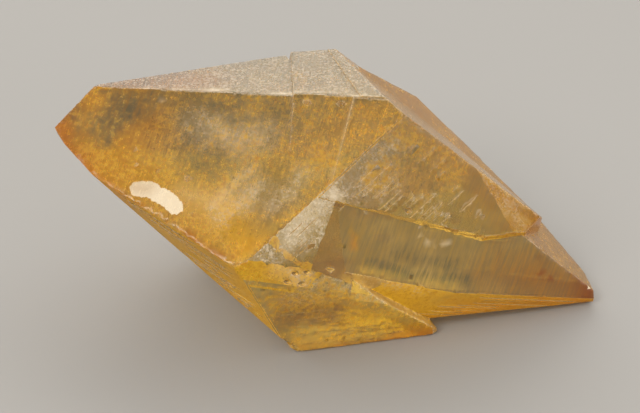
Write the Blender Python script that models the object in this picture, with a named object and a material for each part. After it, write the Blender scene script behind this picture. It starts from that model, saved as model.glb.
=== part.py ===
"""Honey calcite: one doubly ended dogtooth crystal made of several parallel growths.

Everything is worked out in the crystal's own frame, where the c axis runs along +Z to the left
point, and in millimetres. The joined crystal is then laid on its resting face, with its long
axis along X, and given its real size in metres.
"""

import math
import random

import bmesh
import bpy
from mathutils import Matrix, Vector

MM = 0.001
C_AXIS = Vector((0, 0, 1))

# Calcite's form angles follow from its axial ratio: every face of a form leans away from the
# c axis by the same polar angle.
AXIAL_RATIO = 0.8543


def form_polar(h, k, l):
    """Angle in degrees between the c axis and the face normal of the form {h k i l}."""
    reach = 2 / math.sqrt(3) * AXIAL_RATIO * math.sqrt(h * h + h * k + k * k) / l
    return math.degrees(math.atan(reach))


TOOTH_POLAR = form_polar(2, 1, 1)
CLEAVAGE_POLAR = form_polar(1, 0, 1)
# The tooth faces stand in pairs, this far to each side of three directions round the c axis.
TOOTH_SPLIT = math.degrees(math.atan(math.sqrt(3) * 1 / (2 * 2 + 1)))
LEFT, RIGHT = 1, -1
SECTORS = {LEFT: (60, 180, 300), RIGHT: (0, 120, 240)}


def plane(polar, azimuth, distance):
    """A face as its outward normal and its distance from the crystal's middle in mm."""
    polar, azimuth = math.radians(polar), math.radians(azimuth)
    level = math.sin(polar)
    normal = Vector((level * math.cos(azimuth), level * math.sin(azimuth), math.cos(polar)))
    return normal, distance


def tooth(end, sector, side, distance, lean=0.0, swing=0.0):
    """A scalenohedron face of one end, leant and swung by a few degrees as real faces are."""
    polar = TOOTH_POLAR + lean
    if end == RIGHT:
        polar = 180 - polar
    return plane(polar, sector + side * TOOTH_SPLIT + swing, distance)


def moved(face, step):
    """The same face, grown outwards by step mm or, below zero, set back."""
    normal, distance = face
    return normal, distance + step


def through(normal, point):
    """The plane of that outward direction that holds the point."""
    normal = normal.normalized()
    return normal, normal.dot(point)


# Faces of the left point: sectors 60, 180 and 300.
FRONT = tooth(LEFT, 300, -1, 22.05, lean=1.0, swing=0.5)
ROOF = tooth(LEFT, 300, 1, 24.2, lean=-1.0, swing=-0.5)
BAND = tooth(LEFT, 180, 1, 23.05, swing=-7.0)
UNDERCUT = tooth(LEFT, 180, -1, 17.6, lean=-1.0)
BACK_HIGH = tooth(LEFT, 60, -1, 15.8, lean=-1.0)
BACK_LOW = tooth(LEFT, 60, 1, 20.0)
# Faces of the right point: sectors 0, 120 and 240.
SHOULDER = tooth(RIGHT, 240, 1, 20.1, lean=1.0, swing=-1.0)
RIDGE = tooth(RIGHT, 0, -1, 22.3, lean=1.5, swing=3.5)
REAR_HIGH = tooth(RIGHT, 0, 1, 23.9)
REAR_LOW = tooth(RIGHT, 120, -1, 20.0)
REST = tooth(RIGHT, 120, 1, 15.4, lean=2.0, swing=0.5)
# Broken and rubbed ends.
CLEAVED_TIP = plane(CLEAVAGE_POLAR - 1.6, 62, 28.1)
RUBBED_TIP = plane(CLEAVAGE_POLAR + 2.4, 182, 33.15)
RIGHT_TIP = plane(152, 5, 42.9)

# A growth's faces that lie inside its neighbour are set back from it by these steps.
SUNK = -0.8
BACK_SUNK = [moved(face, SUNK) for face in (ROOF, BACK_HIGH, BACK_LOW)]
TIP_SUNK = [moved(CLEAVED_TIP, -3.0), moved(RUBBED_TIP, -3.0)]

# The main growth: all of the left point, and the shoulder down to the waist.
BEVEL = plane(111, 239, 21.15)
MAIN_FLOOR_GAP = 0.2
MAIN = [
    FRONT, ROOF, BAND, UNDERCUT, BACK_HIGH, BACK_LOW, CLEAVED_TIP, RUBBED_TIP,
    SHOULDER, RIDGE, moved(REAR_HIGH, -1.5), REAR_LOW, moved(REST, -MAIN_FLOOR_GAP), BEVEL,
    tooth(RIGHT, 240, -1, 21.3, lean=0.5, swing=2.0),     # above the foot
    tooth(RIGHT, 240, 1, 19.6, lean=-2.5, swing=-1.0),    # shallow bevel towards the spear
    plane(147, 34, -4.2),                                 # seam inside the spear
]

# The raised plate: right part of the roof, the upper shoulder and the grey ridge strip. It ends
# in a small blunt point and overhangs the spear by a thin ledge.
PLATE_FRONT = tooth(LEFT, 300, -1, 22.03, lean=1.0, swing=-0.5)
PLATE_ROOF = moved(ROOF, 0.35)
PLATE_SHOULDER = moved(SHOULDER, 0.1)
PLATE = [
    PLATE_FRONT, PLATE_ROOF, PLATE_SHOULDER, RIDGE,
    tooth(RIGHT, 0, 1, 18.7, lean=-0.5, swing=-1.5),      # back edge of the ridge strip
    tooth(RIGHT, 240, 1, 23.1, lean=-4.0, swing=6.5),     # frosted facet near its point
    tooth(RIGHT, 240, -1, 14.95, lean=2.5, swing=4.0),    # long ledge
    tooth(RIGHT, 240, -1, 18.1, lean=-8.5, swing=-1.0),   # short bright ledge
    plane(150, 224, 29.8),                                # its end
    plane(13, 179, 8.0),                                  # step across the roof
    plane(77, 37.5, 15.75),                               # its top edge at the back
    BACK_LOW, REAR_LOW, moved(REST, -3.0),
    tooth(RIGHT, 240, -1, 20.1, lean=-2.5, swing=-4.0),
]

# The spear: the long right point, a little lower than the plate on top of it.
SPEAR_FRONT = tooth(RIGHT, 240, 1, 19.85, swing=-2.5)
SPEAR_STRIP = tooth(RIGHT, 0, -1, 22.0, lean=-3.0, swing=-10.5)
SPEAR_LOWER = tooth(RIGHT, 240, -1, 20.85, lean=-2.5, swing=-4.0)
SPEAR_CREST = plane(75, 16, 18.95)
SPEAR = [
    SPEAR_FRONT, SPEAR_STRIP, SPEAR_LOWER, tooth(RIGHT, 240, -1, 19.8, lean=1.5),
    REAR_HIGH, plane(125, 19, 29.8), SPEAR_CREST, REAR_LOW, REST, RIGHT_TIP,
    plane(108, 151, 14.65),                               # underside
    moved(FRONT, -3.2), moved(BAND, SUNK), moved(UNDERCUT, SUNK),
] + BACK_SUNK + TIP_SUNK

# The foot: a short growth in front, below the spear.
FOOT_FRONT = tooth(RIGHT, 240, -1, 21.4, lean=0.5, swing=2.0)
FOOT_UNDERCUT = moved(UNDERCUT, 0.2)
FOOT_FLOOR_GAP = 0.06
FOOT = [
    FOOT_FRONT, plane(117.6, 315.9, 6.05),                # narrow facet along the cleft
    plane(122, 6, 1.24), plane(142, 243, 25.65),          # its blunt point and rubbed corner
    moved(REST, -FOOT_FLOOR_GAP), moved(BAND, -0.15), FOOT_UNDERCUT,
    moved(SHOULDER, -1.2), moved(BEVEL, -0.25), moved(FRONT, SUNK), REAR_LOW,
] + BACK_SUNK + TIP_SUNK

# Relief: thin terraces, fine ledges, small parallel crystals and pits on the faces above.
ROOT = 0.5                # how far a layer reaches down into the face that carries it, mm
RIM = 0.05                # and how far it stops short of the next face's edge, mm
RISER_SLOPE = math.radians(30)      # a riser leans back from upright by this
LEDGE_DIP = math.tan(math.radians(6))      # how steeply a ledge sinks back into its face


def runs(face):
    """Two directions lying in a face: along it towards the left point, and across it."""
    normal = face[0]
    along = (C_AXIS - normal * normal.dot(C_AXIS)).normalized()
    return along, normal.cross(along)


def spot(face, along, across, depth=0.0):
    """A point so many mm along and across a face from its middle, and depth below it."""
    run, side = runs(face)
    return face[0] * (face[1] - depth) + run * along + side * across


def border(face, bearing, reach):
    """Ends a layer of a face: outwards is bearing degrees from the face's run, reach mm away."""
    run, side = runs(face)
    turn = math.radians(bearing)
    out = run * math.cos(turn) + side * math.sin(turn)
    foot = spot(face, reach * math.cos(turn), reach * math.sin(turn))
    return through(out + face[0] * math.tan(RISER_SLOPE), foot)


def within(growth, face):
    """The growth's other faces, a little set back: they bound a layer that lies on this face."""
    return [moved(other, -RIM) for other in growth if other is not face]


def terrace(growth, face, rise, borders):
    """A thin layer that stands rise mm above a growth's face, out to its borders."""
    underside = (-face[0], ROOT - face[1])
    return [moved(face, rise), underside] + borders + within(growth, face)


def ledge(growth, face, guide, setback, start, end, rise):
    """A fine ledge on a growth's face, setback mm in from the edge with its guide.

    Its riser faces the guide. Its top dips back into the face, and so do its two ends, which are
    start and end mm along the edge from the crystal's middle.
    """
    normal, distance = face
    edge = guide[0].cross(normal).normalized()
    toward = normal.cross(edge)
    to_guide = (guide[1] - distance * normal.dot(guide[0])) / toward.dot(guide[0])
    line = normal * distance + toward * (to_guide - setback)
    return [
        through(normal - toward * LEDGE_DIP, line + normal * rise),
        through(toward + normal * math.tan(RISER_SLOPE), line + normal * rise),
        through(normal + edge * LEDGE_DIP, line + edge * end),
        through(normal - edge * LEDGE_DIP, line + edge * start),
        (-normal, ROOT - distance),
    ] + within(growth, face)


def ledge_field(growth, face, guide, near, far, count, rise, seed):
    """Count ledges from near the guide's edge to far from it, each of its own length and height.

    Near and far hold a setback and the first and last reach along the edge at that setback.
    """
    chance = random.Random(seed)
    field = []
    for row in range(count):
        share = (row + chance.uniform(-0.3, 0.3)) / (count - 1)
        setback, start, end = (a + (b - a) * share for a, b in zip(near, far))
        from_start = (end - start) * chance.uniform(0.0, 0.45)
        from_end = (end - start) * chance.uniform(0.0, 0.45)
        height = rise * chance.uniform(0.6, 1.0)
        field.append(ledge(
            growth, face, guide, setback, start + from_start, end - from_end, height))
    return field


def small_tooth(centre, size):
    """A small parallel crystal, its twelve faces size mm from its own centre."""
    faces = []
    for end, sectors in SECTORS.items():
        for sector in sectors:
            for side in (-1, 1):
                faces.append(moved(through(tooth(end, sector, side, size)[0], centre), size))
    return faces


def front_terraces():
    """Growth terraces where the plate runs out over the front face and the roof, and a low heel
    along the foot's outer corner."""
    front = terrace(PLATE, PLATE_FRONT, 0.14, [border(FRONT, 3, -5.85)])
    roof = terrace(PLATE, PLATE_ROOF, 0.1, [plane(33, 191, -5.6)])
    heel_height = 1.4
    heel = terrace(FOOT, FOOT_UNDERCUT, 0.6, [(-REST[0], heel_height - REST[1])])
    return [front, roof, heel]


def front_ledges():
    """Fine ledges of the faces that look forwards."""
    fields = []
    fields += ledge_field(PLATE, PLATE_SHOULDER, FRONT, (3, 1, 10), (18, 7, 15), 14, 0.14, 3)
    fields += ledge_field(PLATE, PLATE_SHOULDER, FRONT, (5, 12, 18), (22, 14, 18), 8, 0.10, 11)
    fields += ledge_field(MAIN, SHOULDER, FRONT, (1.5, -13, -3), (5.5, -11, -7), 5, 0.10, 5)
    fields += ledge_field(MAIN, BAND, FRONT, (1.2, -22, 1), (14, 3, 7.5), 12, 0.22, 7)
    fields += ledge_field(SPEAR, SPEAR_LOWER, SPEAR_FRONT, (1, 18, 42), (6, 12, 22), 8, 0.14, 9)
    fields += ledge_field(FOOT, FOOT_FRONT, REST, (1.2, -13, 8), (10, -4, 12), 11, 0.15, 13)
    return fields


def rear_growths():
    """Terraces, ledges and small parallel crystals of the faces that look back and down."""
    growths = [
        terrace(MAIN, BACK_HIGH, 0.5, [
            border(BACK_HIGH, 25, 21.0), border(BACK_HIGH, 205, -7.0), border(BACK_HIGH, 100, 9.0),
            border(BACK_HIGH, 280, 6.0)]),
        terrace(MAIN, UNDERCUT, 0.5, [border(UNDERCUT, 10, 17.0), moved(BAND, -5.0)]),
        terrace(MAIN, UNDERCUT, 0.9, [border(UNDERCUT, 14, 9.0), moved(BAND, -11.0)]),
        terrace(SPEAR, REAR_LOW, 0.4, [border(REAR_LOW, 170, 24.0), border(REAR_LOW, 80, 12.0)]),
        terrace(SPEAR, REAR_HIGH, 0.4, [border(REAR_HIGH, 165, 17.0), border(REAR_HIGH, 75, 2.5)]),
        small_tooth(spot(BACK_HIGH, 12.0, 10.5, 1.2), 2.4),
        small_tooth(spot(BACK_HIGH, 18.0, 12.0, 0.8), 1.4),
        small_tooth(spot(REAR_HIGH, -14.0, -3.0, 0.9), 2.0),
        small_tooth(spot(REAR_LOW, -20.0, 10.5, 1.0), 2.1),
        small_tooth(spot(UNDERCUT, 24.0, -6.0, 0.9), 1.8),
    ]
    growths += ledge_field(MAIN, BACK_HIGH, ROOF, (1.5, 5, 32), (20, 9, 27), 9, 0.2, 17)
    growths += ledge_field(MAIN, UNDERCUT, BAND, (5, -30, 5), (22, -24, 0), 9, 0.2, 19)
    growths += ledge_field(SPEAR, REAR_HIGH, REAR_LOW, (1.5, 5, 23), (15, 4, 12), 8, 0.18, 23)
    growths += ledge_field(SPEAR, REAR_LOW, REAR_HIGH, (1.5, -25, -2), (14, -10, 6), 9, 0.18, 29)
    return growths


def pits():
    """Small crystal-shaped hollows: etched pits, and a chip off the ridge and the right tip."""
    hollows = [
        small_tooth(spot(PLATE_FRONT, 1.7, -9.8), 0.35),
        small_tooth(spot(PLATE_FRONT, -3.7, -10.9), 0.4),
        small_tooth(spot(PLATE_SHOULDER, -5.2, -5.9), 0.45),
        small_tooth(spot(SPEAR_FRONT, -43.2, -3.6), 0.5),
        small_tooth(spot(PLATE_SHOULDER, -13.6, -16.5), 0.5),
    ]
    for along, across in ((11.4, 2.9), (8.9, 2.9), (10.7, 1.2), (8.8, 0.7), (13.4, 5.9), (4.8, -0.3)):
        hollows.append(small_tooth(spot(BEVEL, along, across), 0.4))
    for along, across in ((30.0, 4.0), (24.0, -5.0), (11.0, -4.0), (29.0, -2.0)):
        hollows.append(small_tooth(spot(BACK_HIGH, along, across), 0.7))
    for along, across in ((-32.0, 7.0), (-12.0, 11.5), (0.0, 6.0)):
        hollows.append(small_tooth(spot(REAR_LOW, along, across), 0.8))
    return hollows


def trimmed_block(name, faces):
    """A cube trimmed back to each face in turn, which leaves one closed convex growth."""
    blank = 250 * MM
    snap = 0.001 * MM
    trim = bmesh.new()
    bmesh.ops.create_cube(trim, size=blank)
    for normal, distance in faces:
        cut = bmesh.ops.bisect_plane(
            trim, geom=trim.verts[:] + trim.edges[:] + trim.faces[:], dist=snap,
            plane_co=normal * distance * MM, plane_no=normal, clear_outer=True)
        rim = [item for item in cut["geom_cut"] if isinstance(item, bmesh.types.BMEdge)]
        if rim:
            bmesh.ops.contextual_create(trim, geom=rim)
    bmesh.ops.recalc_face_normals(trim, faces=trim.faces[:])
    mesh = bpy.data.meshes.new(name)
    trim.to_mesh(mesh)
    trim.free()
    return bpy.data.objects.new(name, mesh)


def clear_scene():
    for thing in list(bpy.data.objects):
        bpy.data.objects.remove(thing, do_unlink=True)


def collection(name):
    group = bpy.data.collections.new(name)
    bpy.context.scene.collection.children.link(group)
    return group


def fill(group, solids):
    """Put the named convex solids in a collection, out of sight of renders."""
    for name, faces in solids:
        solid = trimmed_block(name, faces)
        solid.hide_render = True
        solid.display_type = "WIRE"
        group.objects.link(solid)


def combine(body, operation, group):
    modifier = body.modifiers.new(group.name, "BOOLEAN")
    modifier.operation = operation
    modifier.solver = "EXACT"
    modifier.operand_type = "COLLECTION"
    modifier.collection = group


def clean(mesh):
    """Merge the hair-thin slivers that crossing growths leave, and split the faces in triangles."""
    speck = 0.004 * MM
    work = bmesh.new()
    work.from_mesh(mesh)
    bmesh.ops.remove_doubles(work, verts=work.verts[:], dist=speck)
    bmesh.ops.dissolve_degenerate(work, edges=work.edges[:], dist=speck)
    bmesh.ops.dissolve_limit(
        work, angle_limit=math.radians(0.02), verts=work.verts[:], edges=work.edges[:])
    bmesh.ops.triangulate(work, faces=work.faces[:])
    work.to_mesh(mesh)
    work.free()


def lay_down():
    """Turn from the crystal's frame to the world: the resting face down, the c axis along X."""
    up = -REST[0]
    along = -(C_AXIS - up * C_AXIS.dot(up)).normalized()
    across = up.cross(along)
    return Matrix((along, across, up)).to_4x4()


def honey_calcite():
    """Clear honey calcite: a pale amber body with a glassy surface."""
    material = bpy.data.materials.new("honey_calcite")
    material.use_nodes = True
    shader = material.node_tree.nodes["Principled BSDF"]
    shader.inputs["Base Color"].default_value = (0.62, 0.34, 0.07, 1.0)
    shader.inputs["Roughness"].default_value = 0.15
    shader.inputs["Metallic"].default_value = 0.0
    shader.inputs["IOR"].default_value = 1.6
    return material


def numbered(name, solids):
    return [(f"{name}_{number}", faces) for number, faces in enumerate(solids)]


def build():
    clear_scene()
    part = collection("calcite")
    growths = collection("growths")
    hollows = collection("hollows")
    body = trimmed_block("calcite_crystal", MAIN)
    part.objects.link(body)
    fill(growths, [("plate", PLATE), ("spear", SPEAR), ("foot", FOOT)])
    fill(growths, numbered("relief", front_terraces() + front_ledges() + rear_growths()))
    fill(hollows, numbered("pit", pits()))
    combine(body, "UNION", growths)
    combine(body, "DIFFERENCE", hollows)
    bpy.context.view_layer.update()
    solid = bpy.data.meshes.new_from_object(
        body.evaluated_get(bpy.context.evaluated_depsgraph_get()))
    body.modifiers.clear()
    clean(solid)
    solid.transform(lay_down())
    corners = [vertex.co for vertex in solid.vertices]
    low = Vector(min(corner[axis] for corner in corners) for axis in range(3))
    high = Vector(max(corner[axis] for corner in corners) for axis in range(3))
    middle = (low + high) / 2
    solid.transform(Matrix.Translation(Vector((-middle.x, -middle.y, -low.z))))
    body.data = solid
    body.data.name = "calcite_crystal"
    body.data.materials.append(honey_calcite())


build()
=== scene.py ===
import math

import bmesh
import bpy
import numpy as np
from mathutils import Matrix, Vector, noise
from mathutils.kdtree import KDTree


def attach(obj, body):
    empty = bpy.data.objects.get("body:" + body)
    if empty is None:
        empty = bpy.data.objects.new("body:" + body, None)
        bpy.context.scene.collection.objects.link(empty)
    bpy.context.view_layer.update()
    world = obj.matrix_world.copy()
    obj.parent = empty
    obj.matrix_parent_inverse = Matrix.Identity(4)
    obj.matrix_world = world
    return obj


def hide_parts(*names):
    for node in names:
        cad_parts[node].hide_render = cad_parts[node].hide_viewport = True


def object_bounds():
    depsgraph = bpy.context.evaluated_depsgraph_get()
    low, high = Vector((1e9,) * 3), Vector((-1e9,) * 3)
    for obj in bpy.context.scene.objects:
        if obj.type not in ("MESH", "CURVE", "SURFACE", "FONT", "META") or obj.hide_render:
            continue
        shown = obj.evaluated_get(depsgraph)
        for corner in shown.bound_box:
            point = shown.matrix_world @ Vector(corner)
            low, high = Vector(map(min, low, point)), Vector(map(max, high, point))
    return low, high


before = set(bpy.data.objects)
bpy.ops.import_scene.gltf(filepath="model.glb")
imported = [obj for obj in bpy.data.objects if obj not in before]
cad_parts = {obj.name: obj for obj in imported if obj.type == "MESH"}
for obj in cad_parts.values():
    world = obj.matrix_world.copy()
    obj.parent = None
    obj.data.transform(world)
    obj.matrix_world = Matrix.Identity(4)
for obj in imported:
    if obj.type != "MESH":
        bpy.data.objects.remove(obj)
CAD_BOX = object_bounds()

# ---------------------------------------------------------------------------------------------
# The crystal: one honey calcite, pointed at both ends and made of several growths that share
# their axes. It is clear calcium carbonate, coloured by iron film, smoke and frost, and its faces
# carry painted shade, painted glints and painted highlights too. Nothing is cut or polished: the
# faces grew gently wavy, etched and striped, and the edges are worn.
# ---------------------------------------------------------------------------------------------
CAD_NODE = "calcite_crystal"
MM = 0.001

# The long axis of the crystal and the two directions across it.
C_AXIS = Vector((-0.9457, 0.0, 0.3250)).normalized()
SIDEWAYS = Vector((0.0, 1.0, 0.0))
UPWARDS = C_AXIS.cross(SIDEWAYS)

# Outward directions of the faces that carry their own finish.
FACES = {
    "front": (-0.083, -0.581, 0.809),
    "plate_front": (-0.086, -0.594, 0.800),
    "roof": (-0.052, -0.016, 0.998),
    "band": (-0.523, -0.741, -0.421),
    "shoulder": (0.469, -0.826, 0.313),
    "ridge": (0.593, 0.395, 0.701),
    "bevel": (0.388, -0.921, 0.028),
    "frosted": (0.572, -0.733, 0.367),
    "spear": (0.476, -0.832, 0.285),
    "strip": (0.676, 0.171, 0.717),
    "lower": (0.311, -0.895, -0.320),
    "foot": (0.295, -0.930, -0.217),
    "undercut": (-0.635, -0.337, -0.696),
    "back_high": (-0.308, 0.917, 0.254),
    "back_low": (-0.488, 0.813, -0.319),
    "rear_high": (0.492, 0.805, 0.332),
    "rear_low": (0.102, 0.584, -0.805),
    "rest": (0.0, 0.0, -1.0),
    "belly": (-0.011, -0.188, -0.982),
    "back_middle": (-0.151, 0.949, 0.274),
    "step_left": (-0.980, -0.140, 0.150),
    "step_right": (0.840, 0.520, -0.130),
    "crest": (-0.071, 0.804, 0.590),
    "plate_back": (0.506, 0.789, 0.347),
    "right_back": (0.678, 0.705, 0.208),
    "left_tip": (-0.739, 0.666, 0.099),
    "sliver": (0.519, -0.806, 0.285),
    "cleft": (0.730, -0.579, 0.362),
    "end": (0.803, -0.498, -0.328),
    "long_ledge": (0.274, -0.945, -0.177),
    "short_ledge": (0.417, -0.858, -0.299),
}
HIDDEN = ("undercut", "back_high", "back_low", "rear_high", "rear_low", "rest", "belly", "crest",
          "plate_back", "right_back", "left_tip", "back_middle", "step_left", "step_right")

# Its mesh: the CAD solid's own faces, cut into a grid along and across the long axis.
GRID = 0.85 * MM
CUT_SNAP = 0.0001 * MM
MERGE = 0.002 * MM
FLAT = math.radians(0.1)
crystal = bpy.data.objects.new("honey_crystal", bpy.data.objects[CAD_NODE].data.copy())
bpy.context.collection.objects.link(crystal)
bpy.ops.object.select_all(action="DESELECT")
crystal.select_set(True)
bpy.context.view_layer.objects.active = crystal
bpy.ops.object.mode_set(mode="EDIT")
bpy.ops.mesh.select_mode(type="FACE")
bpy.ops.mesh.select_all(action="SELECT")
bpy.ops.mesh.remove_doubles(threshold=MERGE)
bpy.ops.mesh.dissolve_limited(angle_limit=FLAT)
for direction in (C_AXIS, SIDEWAYS, UPWARDS):
    heights = [direction.dot(vertex.co) for vertex in bmesh.from_edit_mesh(crystal.data).verts]
    step = math.floor(min(heights) / GRID) + 0.5
    while step * GRID < max(heights):
        bpy.ops.mesh.select_all(action="SELECT")
        bpy.ops.mesh.bisect(plane_co=direction * step * GRID, plane_no=direction,
                            threshold=CUT_SNAP)
        step += 1

# The edges between its faces get points close enough together to wear unevenly.
EDGE_ANGLE = math.radians(9)
EDGE_STEP = 0.45 * MM
bpy.ops.mesh.select_mode(type="EDGE")
bpy.ops.mesh.select_all(action="DESELECT")
mesh = bmesh.from_edit_mesh(crystal.data)
for edge in mesh.edges:
    edge.select_set(edge.calc_face_angle(0) > EDGE_ANGLE and edge.calc_length() > EDGE_STEP)
bmesh.update_edit_mesh(crystal.data)
bpy.ops.mesh.subdivide(number_cuts=1)
bpy.ops.mesh.select_all(action="SELECT")
bpy.ops.mesh.quads_convert_to_tris(quad_method="SHORTEST_DIAGONAL", ngon_method="BEAUTY")

# Where the main edges run: ridges wear out, grooves fill in.
MAIN_EDGE = math.radians(33)
mesh = bmesh.from_edit_mesh(crystal.data)
mesh.verts.ensure_lookup_table()
ridges = np.zeros(len(mesh.verts))
grooves = np.zeros(len(mesh.verts))
for edge in mesh.edges:
    if edge.calc_face_angle(0) > MAIN_EDGE:
        for vertex in edge.verts:
            (ridges if edge.is_convex else grooves)[vertex.index] = 1.0
bpy.ops.object.mode_set(mode="OBJECT")
data = crystal.data


def read(items, key, width, kind=float):
    """One row of numbers for every item of the crystal's mesh."""
    flat = np.empty(len(items) * width, dtype=kind)
    items.foreach_get(key, flat)
    return flat.reshape(-1, width)


points = read(data.vertices, "co", 3) / MM
edge_ends = read(data.edges, "vertices", 2, int)
triangle_normals = read(data.polygons, "normal", 3)
corner_vertex = read(data.loops, "vertex_index", 1, int)[:, 0]
corner_points = points[corner_vertex]

# The crystal grew unevenly, in the same way each run.
GROWTH_SEED = 3
noise.seed_set(GROWTH_SEED)


def field(size, kind=noise.noise_vector):
    """A smooth noise with features of that many mm, at every vertex."""
    return np.array([kind(Vector(point) / size) for point in points])


# Which face every triangle belongs to. The dipping tops of the fine ledges belong to the face
# that they lie on, and the sides of the ledges belong to none.
SAME_FACE = math.cos(math.radians(0.7))
NEAR_FACE = math.cos(math.radians(9))
LEDGE_DEPTH = 1.0
FAR_AWAY, TINY = 1e9, 1e-9
names = list(FACES)
outward = {name: Vector(FACES[name]).normalized() for name in names}
corner_normals = np.repeat(triangle_normals, 3, axis=0)
facing = np.stack([corner_normals @ np.array(outward[name]) for name in names])
nearest = np.where(facing.max(axis=0) > SAME_FACE, facing.argmax(axis=0), -1)
middles = corner_points.reshape(-1, 3, 3).mean(axis=1).repeat(3, axis=0)
off_plane = np.full(facing.shape, FAR_AWAY)
for index, name in enumerate(names):
    level = middles @ np.array(outward[name])
    off_plane[index] = np.abs(level - level[nearest == index].mean())
off_plane[facing < NEAR_FACE] = FAR_AWAY
on_a_ledge = (nearest < 0) & (off_plane.min(axis=0) < LEDGE_DEPTH)
nearest[on_a_ledge] = off_plane[:, on_a_ledge].argmin(axis=0)
on_face = {name: nearest == index for index, name in enumerate(names)}
on_face["front"] = on_face["front"] | on_face["plate_front"]
ledge_sides = ~np.any(list(on_face.values()), axis=0)

# Its natural finishes are painted on the faces as layers of 0 to 1. Their borders wander in
# bends of two sizes, each with its reach, in mm.
BORDER_BENDS = ((4.0, 1.3), (1.3, 0.45))
wobble = sum(field(size) * reach for size, reach in BORDER_BENDS)[corner_vertex]
layers = {}


def smooth_step(value):
    """Eases 0 to 1 in and out."""
    value = np.clip(value, 0.0, 1.0)
    return value * value * (3 - 2 * value)


def paint(layer, chosen, amount):
    """Brings one layer up to an amount at the chosen corners."""
    values = layers.setdefault(layer, np.zeros(len(corner_points)))
    values[chosen] = np.maximum(values[chosen], amount)


def whole(face, **amounts):
    """Lays finishes evenly over one face."""
    for layer, amount in amounts.items():
        paint(layer, on_face[face], amount)


def stroke(face, layer, radius, soft, amount, *line, wander=1.0):
    """Lays a soft stroke of one finish on one face. Its line is given in mm in the face, along
    and across the growth direction; soft is how far its border fades, in mm, to either side."""
    out = outward[face]
    along = (C_AXIS - out * C_AXIS.dot(out)).normalized()
    across = out.cross(along)
    chosen = on_face[face]
    places = corner_points[chosen] + wander * wobble[chosen]
    flat = np.stack([places @ np.array(along), places @ np.array(across)], axis=1)
    gap = np.full(len(flat), FAR_AWAY)
    for start, end in zip(line, line[1:] or line):
        start = np.array(start)
        run = np.array(end) - start
        share = np.clip((flat - start) @ run / max(run @ run, TINY), 0, 1)
        gap = np.minimum(gap, np.linalg.norm(flat - start - share[:, None] * run, axis=1))
    paint(layer, chosen, amount * smooth_step((radius + soft - gap) / (2 * soft)))


# Both points of the crystal are amber through and through, and its underside is golden.
POINT_STARTS, POINT_FADES, POINT_AMBER = 31, 12, 0.7
MIDDLE_ALONG = -0.5
GOLDEN_BELOW, UNDERSIDE_GOLD = 8, 0.25
from_middle = np.abs((corner_points + wobble) @ np.array(C_AXIS) - MIDDLE_ALONG)
layers["amber"] = POINT_AMBER * smooth_step((from_middle - POINT_STARTS) / POINT_FADES)
layers["gold"] = UNDERSIDE_GOLD * smooth_step(
    (GOLDEN_BELOW - corner_points[:, 2]) / GOLDEN_BELOW)

# The large front face, under a thin iron film.
whole("front", cloud=0.25, ochre=0.42)
# Golden and amber zones deepen towards the point and along the thin lower edge.
stroke("front", "gold", 3.2, 3.4, 0.95, (37.8, -3.7), (32.8, -1.3), (27.6, -0.8), (21.7, 0.4),
       (16.8, 1.5), (11.9, 3.2), (8.1, 4.8))
stroke("front", "gold", 2.4, 2.6, 1.0, (18.6, 1.6), (13.0, 4.9), (12.0, 1.0))
stroke("front", "gold", 0.2, 0.2, 1.0, (32.0, -14.8), wander=0.0)
stroke("front", "amber", 2.6, 2.4, 0.9, (43.1, -6.3), (41.8, -8.8), (40.1, -12.0))
stroke("front", "amber", 2.2, 2.4, 1.0, (43.2, -5.6), (39.4, -2.6), (35.5, -0.3), (31.4, 1.8))
stroke("front", "amber", 0.8, 1.4, 0.8, (31.4, 1.8), (24.1, 4.6), (17.6, 6.5), (12.1, 7.8))
stroke("front", "amber", 1.0, 1.6, 0.6, (10.6, 8.0), (8.4, 6.2), (6.0, 4.4))
stroke("front", "orange", 0.9, 1.8, 0.85, (44.0, -6.6), (43.0, -4.6), (38.0, -1.4), (33.0, 1.4))
stroke("front", "orange", 0.4, 1.2, 0.7, (33.0, 1.4), (24.0, 4.8), (12.1, 8.4))
stroke("front", "rust", 1.0, 3.8, 0.55, (43.5, -10.0), (43.0, -6.0), (38.0, -1.6))
stroke("front", "rust", 0.15, 0.5, 0.5, (22.0, 5.4), (13.0, 8.0), (9.6, 7.4), (8.0, 6.0))
# Darker olive-grey zones hang under the roof: painted shade, standing in for the dark that
# shows through the crystal there.
stroke("front", "smoke", 1.6, 2.0, 0.9, (35.4, -13.5), (27.9, -15.5))
stroke("front", "smoke", 2.4, 2.2, 1.0, (36.3, -8.1), (34.5, -10.8), (31.9, -12.5))
stroke("front", "smoke", 1.0, 1.4, 0.8, (36.2, -6.3), (34.6, -5.8))
stroke("front", "smoke", 1.1, 1.6, 0.7, (19.1, -16.2), (15.2, -15.7), (14.9, -14.0))
stroke("front", "smoke", 1.6, 2.0, 0.55, (22.7, -12.5), (21.0, -9.4))
stroke("front", "smoke", 1.6, 2.0, 0.5, (18.0, -5.7), (17.0, -7.7))
stroke("front", "smoke", 1.0, 1.8, 0.7, (38.8, -10.2), (36.3, -12.2), (33.8, -13.8),
       (30.9, -14.1))
stroke("front", "smoke", 0.8, 1.6, 0.7, (36.6, -7.8), (34.3, -10.1), (32.4, -11.7))
stroke("front", "smoke", 0.12, 0.35, 1.0, (39.3, -13.8), (22.6, -17.5), (0.2, -21.6),
       (-6.9, -22.4), wander=0.0)
stroke("front", "smoke", 2.4, 4.0, 0.8, (43.6, -9.6), (41.0, -8.6))
stroke("front", "smoke", 2.6, 3.0, 0.42, (26.0, -15.6), (21.0, -16.6), (10.0, -17.6))
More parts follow.
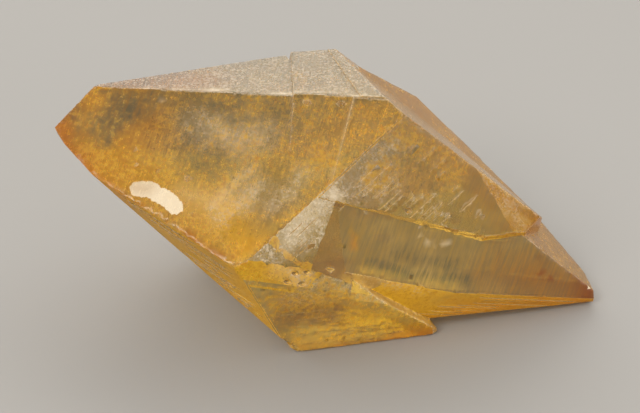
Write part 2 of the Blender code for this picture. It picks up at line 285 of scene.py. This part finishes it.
# Milky streaks, which the iron film leaves bare.
stroke("front", "frost", 0.5, 1.6, 0.5, (19.2, -8.6), (18.2, -11.6), (16.8, -13.2), wander=0.3)
stroke("front", "frost", 2.0, 3.2, 0.5, (21.1, -12.0), (15.2, -11.6), (9.9, -12.4))
stroke("front", "frost", 1.3, 2.0, 0.65, (12.6, 2.6), (10.5, -0.4), (8.1, -4.4))
stroke("front", "frost", 0.6, 1.4, 0.7, (14.7, 1.8), (10.6, -6.8))
stroke("front", "frost", 1.0, 2.0, 0.6, (5.4, -1.8), (3.8, -4.8), (2.1, -8.3))
stroke("front", "bare", 2.0, 2.6, 0.7, (11.9, 2.7), (10.5, -0.4), (8.1, -4.4))
stroke("front", "bare", 1.2, 2.0, 0.8, (5.4, -1.8), (3.8, -4.8), (2.1, -8.3))
stroke("front", "bare", 2.6, 3.2, 0.5, (21.1, -12.9), (15.2, -12.9), (9.9, -13.7))
# The iron film is dense in bands, and breaks into crisp flecks near the shoulder.
stroke("front", "ochre", 2.0, 3.0, 1.0, (36.9, -4.0), (29.3, -1.1), (23.0, 2.4), (17.5, 4.0),
       (10.0, 6.0))
stroke("front", "ochre", 1.6, 2.6, 0.9, (19.4, -1.9), (17.5, -4.1))
stroke("front", "ochre", 4.2, 3.6, 0.75, (29.9, -2.9), (21.2, -2.4), (12.4, -1.0))
stroke("front", "ochre", 3.6, 3.0, 0.6, (5.7, -17.9), (-1.3, -18.5), (-7.5, -20.0))
stroke("front", "ochre", 4.6, 3.6, 0.6, (7.6, -7.3), (-1.0, -11.9))
stroke("front", "ochre", 0.45, 0.5, 1.0, (-10.6, -20.5), (-6.6, -13.6), (-2.7, -6.8), (5.1, 5.3))
stroke("front", "stain", 4.0, 4.0, 0.40, (6.5, -17.0), (3.0, -10.0), (-2.0, -14.0), (-6.0, -19.0))
stroke("front", "stain", 1.6, 2.6, 0.40, (16.0, -1.0), (11.5, 1.0), (9.0, -2.0))
stroke("front", "stain", 0.14, 0.3, 0.8, (-10.6, -20.6), (-6.6, -13.7), (-2.7, -6.9), (5.1, 5.2),
       wander=0.15)
# Healed cracks, and a thin veil by the lower edge.
stroke("front", "veil", 0.06, 0.3, 0.5, (28.9, -13.5), (27.7, -15.2), wander=0.15)
stroke("front", "veil", 0.06, 0.3, 0.35, (16.2, -14.7), (15.7, -16.3), wander=0.15)
stroke("front", "veil", 1.6, 3.4, 0.3, (18.5, 0.0), (14.5, 1.0), (13.0, -1.0))
# The cream patch, a little darker at its left end.
stroke("front", "patch", 1.45, 0.9, 1.0, (27.0, 0.6), (25.6, 0.2), (22.7, 0.9), (20.6, 2.1),
       wander=0.25)
stroke("front", "patch_shade", 1.4, 2.0, 0.55, (27.6, 0.3), (26.0, -0.4))
# The lower edge is clean and unworn, with no pale rim or painted edge glint.
stroke("front", "polished", 1.2, 1.2, 1.0, (44.0, -8.0), (43.2, -5.6), (31.4, 2.6), (12.1, 8.6),
       (5.1, 5.8), wander=0.0)

# The frosted roof, browner towards the left point, with one long healed crack.
whole("roof", smoke=0.42, frost=0.55)
stroke("roof", "frost", 4.0, 8.0, 0.75, (12.0, -4.0), (-12.0, -4.0))
stroke("roof", "smoke", 3.0, 6.0, 0.95, (38.0, -2.0), (24.0, -4.0))
stroke("roof", "amber", 2.4, 4.0, 0.75, (36.0, -0.6), (28.0, -1.6), (18.0, -2.9))
stroke("roof", "rust", 3.0, 5.0, 0.22, (37.0, -1.5), (22.0, -3.5))
stroke("roof", "gold", 0.6, 0.9, 0.9, (3.8, -4.9), (2.5, -2.8))
stroke("roof", "veil", 0.14, 0.2, 0.9, (36.4, -0.2), (19.4, -0.3), (4.6, 0.8), (-3.4, 0.9),
       (-9.9, 1.9), wander=0.12)

# The narrow band under the front face, etched and golden.
whole("band", gold=1.0, cloud=0.2, ochre=0.35, etched=1.0, polished=1.0)
stroke("band", "rust", 0.15, 0.5, 0.8, (28.3, -28.2), (21.7, -30.5), (14.1, -32.3))

# The shoulder: a frosted triangle at the left, scuffs and a small painted highlight in the
# middle, film and amber along its upper edge and at the right.
whole("shoulder", gold=0.3, smoke=0.36, cloud=0.3)
stroke("shoulder", "frost", 3.6, 2.2, 0.95, (24.6, -7.7), (20.9, -13.0), (17.4, -17.1))
stroke("shoulder", "frost", 1.3, 1.0, 0.95, (16.6, -13.5), (16.8, -9.7))
stroke("shoulder", "frost", 2.2, 2.4, 0.7, (13.8, -23.8), (9.0, -22.6), (12.8, -19.5))
stroke("shoulder", "frost", 1.0, 1.4, 0.9, (11.4, -25.3), (9.1, -28.0))
stroke("shoulder", "veil", 2.0, 2.6, 0.55, (21.0, -9.6), (21.0, -12.0), (18.0, -16.5))
# A painted highlight: a small bright cream spot that stands in for a lamp's glint off it.
stroke("shoulder", "veil", 0.8, 1.0, 1.0, (16.9, -17.9))
stroke("shoulder", "ochre", 3.4, 2.8, 0.85, (9.4, -30.6), (3.2, -29.3), (-1.5, -26.9))
stroke("shoulder", "ochre", 3.0, 2.8, 0.6, (10.2, -23.1), (4.3, -27.3), (2.0, -22.0))
stroke("shoulder", "stain", 2.4, 3.0, 0.40, (9.4, -30.6), (4.0, -28.0), (-1.5, -26.9))
stroke("shoulder", "stain", 0.6, 0.6, 1.0, (24.9, -8.2), (21.6, -7.3), (18.7, -7.0), (16.0, -5.9))
stroke("shoulder", "gold", 4.0, 4.0, 0.35, (-0.3, -25.2), (-8.8, -23.2), (-16.5, -21.3))
stroke("shoulder", "amber", 1.5, 2.5, 0.6, (8.5, -32.0), (2.0, -30.8), (-5.1, -28.4))
stroke("shoulder", "amber", 3.0, 5.0, 0.55, (-8.0, -24.0), (-20.0, -20.0))
whole("frosted", gold=0.85, amber=0.45)
stroke("frosted", "frost", 1.2, 1.6, 0.4, (-5.0, -24.8), (-12.3, -21.6), (-15.5, -19.4))
stroke("frosted", "amber", 1.2, 1.4, 0.8, (-15.7, -18.6), (-17.5, -22.6))

# The bevel below the shoulder: golden and cloudy, with bare milky zones.
whole("bevel", cloud=0.5, ochre=0.62)
stroke("bevel", "gold", 4.4, 2.6, 1.0, (27.0, -14.8), (23.8, -14.0), (20.2, -10.2))
stroke("bevel", "gold", 3.0, 2.0, 1.0, (26.0, -12.0), (22.0, -12.0))
stroke("bevel", "smoke", 3.0, 4.0, 0.45, (12.0, -13.0), (7.0, -12.6), (2.0, -11.0))
stroke("bevel", "cloud", 3.0, 3.0, 1.0, (9.0, -13.0), (3.0, -13.0), (0.0, -10.0))
stroke("bevel", "ochre", 2.4, 2.6, 0.95, (27.0, -17.0), (23.8, -13.0), (20.2, -10.2))
stroke("bevel", "ochre", 2.0, 3.0, 1.0, (7.0, -10.0), (1.0, -10.0))
stroke("bevel", "frost", 1.3, 1.6, 0.9, (21.0, -14.6), (16.7, -12.7), (12.7, -11.4))
stroke("bevel", "frost", 1.6, 2.0, 0.75, (10.5, -12.9), (7.9, -12.7), (3.9, -11.8), (-0.1, -10.0))
stroke("bevel", "bare", 0.7, 1.4, 0.9, (22.0, -14.9), (16.7, -12.7), (12.7, -11.4))
stroke("bevel", "bare", 1.2, 2.0, 0.6, (10.5, -12.9), (3.9, -11.8), (-0.1, -10.0))
stroke("bevel", "veil", 1.6, 2.4, 0.25, (20.0, -13.6), (16.5, -12.0))
# Its sharp ochre stain, with a few islands of it.
stroke("bevel", "stain", 1.0, 0.6, 1.0, (24.8, -16.7), (22.0, -16.1), wander=0.5)
stroke("bevel", "stain", 1.5, 0.6, 1.0, (21.2, -15.6), (17.0, -14.6), wander=0.5)
stroke("bevel", "stain", 2.6, 1.0, 0.56, (25.0, -15.0), (20.0, -12.9), (15.0, -12.0))
stroke("bevel", "stain", 1.1, 0.8, 1.0, (12.7, -14.6), (13.2, -14.0))
stroke("bevel", "polished", 1.0, 1.0, 1.0, (28.0, -15.0), (25.0, -10.0))
for island in ((18.1, -11.1), (15.8, -11.1), (17.4, -12.7), (15.5, -13.2)):
    stroke("bevel", "stain", 0.3, 0.4, 1.0, island)

# The foot, darker olive-grey in the middle and orange along its thin lower edge.
whole("foot", smoke=0.35, cloud=0.7, ochre=0.45, polished=0.6)
stroke("foot", "gold", 2.8, 3.0, 0.9, (1.9, -10.2), (-9.0, -9.3))
stroke("foot", "gold", 2.2, 2.4, 1.0, (-0.1, -9.4), (-5.7, -8.8), (-10.4, -8.2))
stroke("foot", "amber", 3.6, 3.0, 0.5, (15.9, -13.4), (7.7, -11.7))
stroke("foot", "amber", 0.8, 2.0, 1.0, (9.5, -1.5), (-1.9, -4.5), (-12.5, -7.9))
stroke("foot", "amber", 1.0, 1.6, 1.0, (-6.0, -6.0), (-12.5, -8.2))
stroke("foot", "orange", 0.7, 1.3, 1.0, (3.0, -2.4), (-5.0, -4.6), (-12.5, -7.4))
stroke("foot", "orange", 1.4, 2.4, 0.6, (-8.0, -7.0), (-12.5, -8.2))
stroke("foot", "rust", 3.0, 3.0, 0.22, (13.9, -9.4), (7.7, -10.7))
stroke("foot", "rust", 1.2, 2.2, 0.2, (12.0, -3.5), (2.0, -4.5), (-6.0, -6.0))
stroke("foot", "smoke", 3.4, 3.0, 0.75, (13.9, -9.4), (7.7, -10.7))
stroke("foot", "ochre", 4.6, 3.0, 0.7, (15.9, -13.4), (7.7, -11.7), (-2.0, -9.0))
stroke("foot", "frost", 1.2, 2.0, 0.6, (15.1, -13.5), (14.1, -15.5), (10.5, -14.9))
stroke("foot", "bare", 0.6, 1.6, 1.0, (9.6, -1.8), (1.3, -3.4), (-6.8, -5.6), (-11.8, -7.8))

# The spear: a dark olive-grey, streaky face that turns amber and then rust towards its
# chipped point.
whole("spear", gold=0.12, amber=0.25, smoke=0.5, cloud=0.6, polished=0.6)
stroke("spear", "gold", 0.3, 0.5, 0.9, (11.2, -13.2), (10.5, -12.0), (10.0, -10.8))
stroke("spear", "amber", 4.0, 9.0, 1.0, (-17.6, -14.7), (-22.3, -15.3), (-34.7, -15.1))
stroke("spear", "orange", 0.35, 0.4, 0.5, (11.2, -13.2), (10.5, -12.0), (10.0, -10.8), wander=0.3)
stroke("spear", "rust", 0.2, 0.35, 1.0, (-24.4, -15.8), (-25.2, -14.7), (-26.5, -14.7))
stroke("spear", "rust", 3.0, 6.0, 0.9, (-34.7, -17.5), (-36.0, -13.5))
stroke("spear", "rust", 3.0, 7.0, 0.3, (-24.0, -15.0), (-34.0, -15.0))
stroke("spear", "smoke", 1.6, 3.4, 0.9, (1.9, -12.3), (-3.7, -12.5), (-7.9, -12.8))
stroke("spear", "smoke", 1.5, 2.0, 0.95, (6.0, -9.2), (-1.5, -9.9), (-12.0, -11.2))
stroke("spear", "cloud", 1.6, 2.4, 1.0, (6.0, -9.5), (-1.5, -10.4), (-10.0, -11.8))
stroke("spear", "veil", 0.1, 0.4, 0.7, (-0.3, -16.1), (-2.0, -15.8), (-3.5, -15.9), (-5.6, -15.9))
stroke("spear", "patch", 0.15, 0.25, 1.0, (-34.1, -16.0), (-34.8, -15.5), wander=0.1)

# The face under the spear, and the strip along its back.
whole("lower", gold=1.0, cloud=0.3, ochre=0.5, etched=1.0, polished=0.6)
stroke("lower", "amber", 1.4, 1.8, 0.9, (-29.1, -15.6), (-39.1, -14.9))
stroke("lower", "orange", 0.6, 1.6, 0.8, (-10.0, -10.2), (-23.0, -11.4), (-32.0, -12.8),
       (-39.1, -14.4))
stroke("lower", "orange", 2.4, 3.4, 0.7, (-16.0, -12.0), (-24.0, -13.4), (-36.0, -14.6))
stroke("lower", "frost", 1.0, 1.2, 0.7, (2.7, -19.8), (-6.5, -17.5))
whole("strip", gold=0.6, amber=0.6, rust=0.14, smoke=0.3, cloud=0.3, ochre=0.36, polished=0.6)
stroke("strip", "amber", 3.0, 6.0, 0.95, (-26.0, 8.0), (-38.0, 7.0))
stroke("strip", "frost", 1.4, 1.4, 0.7, (-13.0, 7.0), (-17.2, 6.8))

# The plain faces: the ridge, the small ones round the spear's ends, and all that is behind.
whole("ridge", gold=0.6, amber=0.55, rust=0.1, smoke=0.3, cloud=0.3, ochre=0.36)
whole("cleft", amber=1.0, smoke=0.35, cloud=0.5, ochre=0.3)
whole("end", gold=0.6, amber=0.7, orange=0.2)
whole("sliver", amber=0.3, smoke=0.2)
# The two ledges are painted bright gold, the short one with full ochre stain too: a painted
# highlight along the ledge line, where it catches the light.
whole("long_ledge", gold=1.0, veil=0.15, polished=0.7)
whole("short_ledge", gold=1.0, stain=1.0)
for name in HIDDEN:
    whole(name, frost=0.2, ochre=0.32)
for layer, amount in (("amber", 0.3), ("cloud", 0.5), ("ochre", 0.25), ("frost", 0.12)):
    paint(layer, ledge_sides, amount)

# The main ridges carry a pale rim: partly wear, and partly a painted glint along the edges.
layers["wear"] = ridges[corner_vertex]
for layer, values in layers.items():
    stored = data.attributes.new(layer, "FLOAT", "CORNER")
    stored.data.foreach_set("value", values.astype(np.float32))

# Terraces and fine ledges have ragged borders: inside a face, everything shifts a little. The
# main edges stay put, and the long growth lines of the low faces run nearly straight.
RAGGED = 0.55
LEDGE_BENDS = ((0.9, 0.55), (0.45, 0.35))
EDGE_MARGIN, EDGE_FADE = 0.15, 1.2
STRAIGHT_FACES = ("band", "foot", "lower", "undercut")
NEARLY_STRAIGHT = 0.2
normal_sum = np.zeros_like(points)
for corner in range(3):
    np.add.at(normal_sum, corner_vertex[corner::3], triangle_normals)
outwards = normal_sum / np.linalg.norm(normal_sum, axis=1)[:, None]
on_edge = np.flatnonzero(ridges + grooves > 0)
main_edges = KDTree(len(on_edge))
for index in on_edge:
    main_edges.insert(Vector(points[index]), int(index))
main_edges.balance()
clearance = np.array([main_edges.find(Vector(point))[2] for point in points])
shift = sum(field(size) * reach for size, reach in LEDGE_BENDS)
shift -= outwards * (shift * outwards).sum(axis=1)[:, None]
shift *= (RAGGED * np.clip((clearance - EDGE_MARGIN) / EDGE_FADE, 0, 1))[:, None]
calm = np.ones(len(points))
straight = np.isin(nearest, [names.index(name) for name in STRAIGHT_FACES])
calm[corner_vertex[straight]] = NEARLY_STRAIGHT
shift *= calm[:, None]

# The faces sink a little, in gentle waves.
SINK = 0.03
WAVE_SIZE = 8.0
waves = field(WAVE_SIZE, noise.noise)
moved = points + shift - outwards * (SINK * (1 + waves))[:, None]

# The main edges are worn, more in some places than in others.
WEAR = 0.05
LEAST_WEAR = 0.3
WEAR_SIZE = 2.5
uneven = np.clip(0.5 + 0.8 * field(WEAR_SIZE, noise.noise), 0, 1)
uneven = LEAST_WEAR + (1 - LEAST_WEAR) * uneven
for rub in range(2):
    total = np.zeros_like(moved)
    count = np.zeros(len(moved))
    for here, there in ((0, 1), (1, 0)):
        np.add.at(total, edge_ends[:, here], moved[edge_ends[:, there]])
        np.add.at(count, edge_ends[:, here], 1)
    pull = total / count[:, None] - moved
    pull *= np.minimum(1, WEAR / np.maximum(np.linalg.norm(pull, axis=1), TINY))[:, None]
    moved = moved + (np.clip(ridges + 0.5 * grooves, 0, 1) * uneven)[:, None] * pull

lowest, highest = [np.array(list(box_corner)) / MM for box_corner in CAD_BOX]
moved = np.clip(moved, lowest, highest)
data.vertices.foreach_set("co", (moved * MM).ravel())
data.update()
SOFT_EDGE = math.radians(25)
bpy.ops.object.shade_smooth_by_angle(angle=SOFT_EDGE)

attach(crystal, "root")
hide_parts(CAD_NODE)


def linear(code):
    """An sRGB hex colour as linear red, green, blue and full alpha."""
    values = [int(code[i:i + 2], 16) / 255 for i in (1, 3, 5)]
    values = [v / 12.92 if v <= 0.04045 else ((v + 0.055) / 1.055) ** 2.4 for v in values]
    return (*values, 1.0)


def add(owner, kind, inputs=(), **settings):
    """Adds one node with its settings. Its inputs come by name or in their order: a value, an
    output to link, or a node, which stands for its first output in use."""
    node = owner.node_tree.nodes.new("ShaderNode" + kind)
    for name, value in settings.items():
        setattr(node, name, value)
    for key, value in inputs.items() if isinstance(inputs, dict) else enumerate(inputs):
        if isinstance(value, bpy.types.Node):
            value = next(output for output in value.outputs if output.enabled)
        if isinstance(value, bpy.types.NodeSocket):
            owner.node_tree.links.new(value, node.inputs[key])
        else:
            node.inputs[key].default_value = value
    return node


# Clear calcite is glassy and see-through, and soaks up blue light over a centimetre or two,
# which makes it honey. Etching frosts it, iron oxide lies on it as a matt film that hides it,
# and smoke and amber are colour inside it, shown here on its faces; the smoke colour is partly
# painted shade. It bends light by 1.49 and 1.66 at once: one IOR between them stands for both.
HONEY_DEEP, HONEY_PALE = linear("#B8A060"), linear("#E2CA8C")
GOLD, AMBER, ORANGE = linear("#FFC81C"), linear("#D68C06"), linear("#EE9606")
OCHRE_DARK, OCHRE, RUST = linear("#D2920E"), linear("#F8C22E"), linear("#8E3C08")
FROST, CREAM, PUTTY = linear("#F4E4CE"), linear("#F8E6C6"), linear("#C0A074")
SMOKE_AND_SHADE = linear("#6A644A")
HONEY_ABSORPTION, ABSORPTION_PER_METRE = linear("#FFF8A4"), 62.0
CALCITE_IOR = 1.6

calcite = bpy.data.materials.new("Honey calcite, natural crystal faces")
calcite.use_nodes = True
calcite.node_tree.nodes.clear()
place = add(calcite, "TexCoord").outputs["Object"]

# Its paler clouds are about 9 mm across and the film's mottle about 1 mm. The growth lines lie
# across the long axis. The real ones are under 0.2 mm apart, the film's rings 0.1 to 0.3 mm
# across and the etch grains 0.1 mm: all are too fine to show, so they are drawn coarser, at
# about 0.35, 0.5 and 0.3 mm.
STREAK_LENGTH = 12
lying = Matrix((C_AXIS, SIDEWAYS, UPWARDS)).transposed().to_euler()
stretched = add(calcite, "Mapping", {"Vector": place, "Rotation": lying,
                                     "Scale": (1, STREAK_LENGTH, STREAK_LENGTH)},
                vector_type="TEXTURE")
clouds, mottle, fleck, streaks, glitter = [
    add(calcite, "TexNoise", {"Vector": vector, "Scale": 1 / (size * MM), "Detail": detail,
                              "Roughness": coarseness})
    for size, detail, coarseness, vector in (
        (9.0, 3, 0.60, place), (1.1, 5, 0.65, place), (0.50, 2, 0.60, place),
        (0.35, 3, 0.65, stretched), (0.36, 1, 0.50, place))
]
ETCH_GRAIN = 0.30
crumbs = add(calcite, "TexVoronoi", {"Vector": place, "Scale": 1 / (ETCH_GRAIN * MM)})
spark = add(calcite, "SeparateColor", {"Color": crumbs.outputs["Color"]}).outputs["Red"]
finish = {name: add(calcite, "Attribute", attribute_name=name).outputs["Fac"]
          for name in layers}

# Each Map Range below takes a value, the two ends to map from and the two to map to.
# Smoke and painted shade follow the growth lines, and frost is broken up by the mottle.
streaky = add(calcite, "MapRange", (streaks, 0.38, 0.62, 0.55, 1.25))
smoke = add(calcite, "Math", (finish["smoke"], streaky), operation="MULTIPLY", use_clamp=True)
broken = add(calcite, "MapRange", (mottle, 0.38, 0.55, 0.45, 1.0))
frosting = add(calcite, "Math", (finish["frost"], broken), operation="MULTIPLY")

# Iron film: the denser it is, the more of the mottle it covers. Some places stay bare of it.
film = add(calcite, "Math", (mottle, 0.65), operation="MULTIPLY")
for pattern, weight in ((streaks, 0.35), (finish["ochre"], 0.24)):
    more = add(calcite, "Math", (pattern, weight), operation="MULTIPLY")
    film = add(calcite, "Math", (film, more), operation="ADD")
cloudy = add(calcite, "MapRange", (clouds, 0.3, 0.7, -0.07, 0.07))
film = add(calcite, "Math", (film, cloudy), operation="ADD")
less = add(calcite, "Math", (finish["bare"], -0.16), operation="MULTIPLY")
film = add(calcite, "Math", (film, less), operation="ADD")
film = add(calcite, "MapRange", (film, 0.52, 0.73, 0.0, 0.85))
present = add(calcite, "MapRange", (finish["ochre"], 0.02, 0.35))
film = add(calcite, "Math", (film, present), operation="MULTIPLY")

# The stain, which is thicker film, and the patch have sharp borders, torn by the flecks. On the
# short ledge the stain is part of a painted highlight.
torn = {}
for name, amount, outside, inside in (("stain", 0.7, 0.42, 0.58), ("patch", 0.5, 0.46, 0.54)):
    centred = add(calcite, "Math", (fleck, 0.5), operation="SUBTRACT")
    tear = add(calcite, "Math", (centred, amount), operation="MULTIPLY")
    border = add(calcite, "Math", (finish[name], tear), operation="ADD")
    torn[name] = add(calcite, "MapRange", (border, outside, inside))
film = add(calcite, "Math", (film, torn["stain"]), operation="MAXIMUM")

# Worn edges are pale and glitter, except where they stayed clean: partly real wear, and partly a
# painted glint, a broken bright line where the edges catch the light.
worn_and_glinting = add(calcite, "MapRange", (finish["wear"], 0.6, 1.0))
glittering = add(calcite, "MapRange", (glitter, 0.35, 0.6, 0.2, 1.0))
rim = add(calcite, "Math", (worn_and_glinting, glittering), operation="MULTIPLY")
unpolished = add(calcite, "MapRange", (finish["polished"], 0.0, 1.0, 1.0, 0.0))
rim = add(calcite, "Math", (rim, unpolished), operation="MULTIPLY")
pale_rim_and_glint = add(calcite, "Math", (rim, 0.4), operation="MULTIPLY")

# How much of each colour shows: its finish, thinned by a pattern.
golden, frosted, smoke_and_shade_share, smoke_and_shade_over_film, painted_glints = [
    add(calcite, "Math", (amount, add(calcite, "MapRange", (pattern, *ends))),
        operation="MULTIPLY")
    for amount, pattern, ends in (
        (finish["gold"], clouds, (0.3, 0.6, 0.65, 1.0)),
        (frosting, spark, (0.15, 0.85, 0.05, 1.0)),
        (smoke, mottle, (0.3, 0.6, 0.6, 1.0)),
        (smoke, mottle, (0.35, 0.62, 0.95, 0.45)),
        (frosting, spark, (0.70, 0.82, 0.0, 0.85)))
]
# Painted glints: crisp cream grains on the frosted places stand in for light sparkling off the
# etched surface, except where the iron film covers them.
uncovered = add(calcite, "MapRange", (film, 0.0, 0.8, 1.0, 0.0))
painted_glints = add(calcite, "Math", (painted_glints, uncovered), operation="MULTIPLY")

# The colours, laid one over the other. The body is paler and deeper honey in clouds and along
# the growth lines.
cloud_part = add(calcite, "Math", (clouds, 0.6), operation="MULTIPLY")
streak_part = add(calcite, "Math", (streaks, 0.4), operation="MULTIPLY")
body = add(calcite, "Math", (cloud_part, streak_part), operation="ADD")
body = add(calcite, "MapRange", (body, 0.38, 0.62))
iron = add(calcite, "Mix", {"Factor": add(calcite, "MapRange", (fleck, 0.38, 0.58)),
                            "A": OCHRE_DARK, "B": OCHRE}, data_type="RGBA")
patch = add(calcite, "Mix", {"Factor": finish["patch_shade"], "A": CREAM, "B": PUTTY},
            data_type="RGBA")
colour = HONEY_DEEP
for share, over in ((body, HONEY_PALE), (golden, GOLD), (finish["amber"], AMBER),
                    (frosted, FROST), (smoke_and_shade_share, SMOKE_AND_SHADE), (film, iron), (smoke_and_shade_over_film, SMOKE_AND_SHADE),
                    (painted_glints, CREAM), (finish["veil"], CREAM), (finish["orange"], ORANGE),
                    (finish["rust"], RUST), (torn["patch"], patch), (pale_rim_and_glint, FROST)):
    colour = add(calcite, "Mix", {"Factor": share, "A": colour, "B": over}, data_type="RGBA")

# How clear it stays: full frosting leaves half, and each other finish its own share.
clear = add(calcite, "MapRange", (frosting, 0.0, 1.0, 0.82, 0.5))
for coat, left in ((finish["cloud"], 0.45), (smoke, 0.7), (finish["amber"], 0.8), (film, 0.75),
                   (torn["patch"], 0.25), (rim, 0.6), (finish["veil"], 0.4)):
    passed = add(calcite, "MapRange", (coat, 0.0, 1.0, 1.0, left))
    clear = add(calcite, "Math", (clear, passed), operation="MULTIPLY")

# How rough it is: a natural face is less smooth than glass, and each finish adds to that.
roughness = add(calcite, "MapRange", (frosting, 0.0, 1.0, 0.14, 0.38))
for coat, extra in ((film, 0.2), (rim, 0.15), (finish["etched"], 0.3)):
    more = add(calcite, "Math", (coat, extra), operation="MULTIPLY")
    roughness = add(calcite, "Math", (roughness, more), operation="ADD")

# Frosted places are grainy, and the rest is faintly pitted, to 0.1 mm.
pits = add(calcite, "Math", (crumbs, finish["frost"]), operation="MULTIPLY")
swells = add(calcite, "Math", (mottle, 0.4), operation="MULTIPLY")
relief = add(calcite, "Math", (pits, swells), operation="ADD")
bump = add(calcite, "Bump", {"Height": relief, "Strength": 0.6, "Distance": 0.10 * MM})
absorb = add(calcite, "VolumeAbsorption",
             {"Color": HONEY_ABSORPTION, "Density": ABSORPTION_PER_METRE})
shader = add(calcite, "BsdfPrincipled", {
    "Base Color": colour, "Roughness": roughness, "Transmission Weight": clear, "IOR": CALCITE_IOR,
    "Specular IOR Level": 0.22, "Normal": bump})
add(calcite, "OutputMaterial", {"Surface": shader, "Volume": absorb})
crystal.data.materials.clear()
crystal.data.materials.append(calcite)

# ---------------------------------------------------------------------------------------------
# The table top: a wide sheet of matt, pale grey studio paper, laid flat just under the crystal.
# It soaks up light without a gloss, and gives the crystal a soft shadow.
# ---------------------------------------------------------------------------------------------
FLOOR_SIZE = 6.0
FLOOR_GAP = 0.2 * MM
bpy.ops.object.select_all(action="DESELECT")
bpy.ops.mesh.primitive_plane_add(size=FLOOR_SIZE, location=(0.0, 0.0, -FLOOR_GAP))
floor = bpy.context.object
floor.name = "floor"
paper = bpy.data.materials.new("Matt studio paper, pale grey")
paper.use_nodes = True
paper_shader = paper.node_tree.nodes["Principled BSDF"]
paper_shader.inputs["Base Color"].default_value = linear("#A6A4A1")
paper_shader.inputs["Roughness"].default_value = 0.9
floor.data.materials.append(paper)

# ---------------------------------------------------------------------------------------------
# The studio: pale walls, brighter behind the crystal than on the camera's side, under a dim
# ceiling, with four softboxes.
# ---------------------------------------------------------------------------------------------
BACK_WALL, FRONT_WALL, CEILING = linear("#FAF8F4"), linear("#8C8B8A"), linear("#6E6D6C")
ROOM_STRENGTH = 1.95
world = bpy.data.worlds.new("Studio")
world.use_nodes = True
sky = add(world, "TexCoord").outputs["Generated"]
sky_axes = add(world, "SeparateXYZ", {"Vector": sky})
backwards = add(world, "MapRange", (sky_axes.outputs["Y"], -0.5, 0.5))
walls = add(world, "Mix", {"Factor": backwards, "A": FRONT_WALL, "B": BACK_WALL},
            data_type="RGBA")
overhead = add(world, "MapRange", (sky_axes.outputs["Z"], 0.80, 0.95))
room = add(world, "Mix", {"Factor": overhead, "A": walls, "B": CEILING}, data_type="RGBA")
background = world.node_tree.nodes["Background"]
world.node_tree.links.new(room.outputs["Result"], background.inputs["Color"])
background.inputs["Strength"].default_value = ROOM_STRENGTH
bpy.context.scene.world = world
# Colours show as they are, with no film curve.
bpy.context.scene.view_settings.view_transform = "Standard"

# Each softbox is a square lamp aimed at the middle of the crystal: its compass bearing and its
# height in degrees, its distance and side in metres, its power in watts, and its colour.
MIDDLE = Vector((-0.0022, 0.0020, 0.0154))
for name, bearing, height, distance, side, power, tint in (
        ("back_softbox", -10, 38, 1.2, 0.7, 1.9, "#FFF6E8"),
        ("key_softbox", -145, 45, 1.4, 0.6, 7, "#FFF8EE"),
        ("side_softbox", 124, 14, 1.0, 0.35, 1.2, "#FFF8EE"),
        ("fill_softbox", 172, 9, 1.2, 0.5, 1.4, "#FFF8EE")):
    turn, rise = math.radians(bearing), math.radians(height)
    away = Vector((math.sin(turn) * math.cos(rise), math.cos(turn) * math.cos(rise),
                   math.sin(rise)))
    light = bpy.data.lights.new(name, "AREA")
    light.size = side
    light.energy = power
    light.color = linear(tint)[:3]
    lamp = bpy.data.objects.new(name, light)
    lamp.location = MIDDLE + away * distance
    lamp.rotation_euler = away.to_track_quat("Z", "Y").to_euler()
    bpy.context.collection.objects.link(lamp)

# ---------------------------------------------------------------------------------------------
# The camera: a long lens, close to the table, looking down at the front face.
# ---------------------------------------------------------------------------------------------
CAMERA_DISTANCE = 0.380
TOWARDS_CAMERA = Vector((0.0807, -0.8148, 0.5734)).normalized()
RIGHTWARDS = Vector((0.9956, 0.0994, 0.0017))
lens = bpy.data.cameras.new("Camera")
lens.sensor_width = 36
lens.lens = 128.25
camera = bpy.data.objects.new("Camera", lens)
camera.location = MIDDLE + TOWARDS_CAMERA * CAMERA_DISTANCE
camera.rotation_euler = Matrix(
    (RIGHTWARDS, TOWARDS_CAMERA.cross(RIGHTWARDS), TOWARDS_CAMERA)).transposed().to_euler()
bpy.context.collection.objects.link(camera)
bpy.context.scene.camera = camera
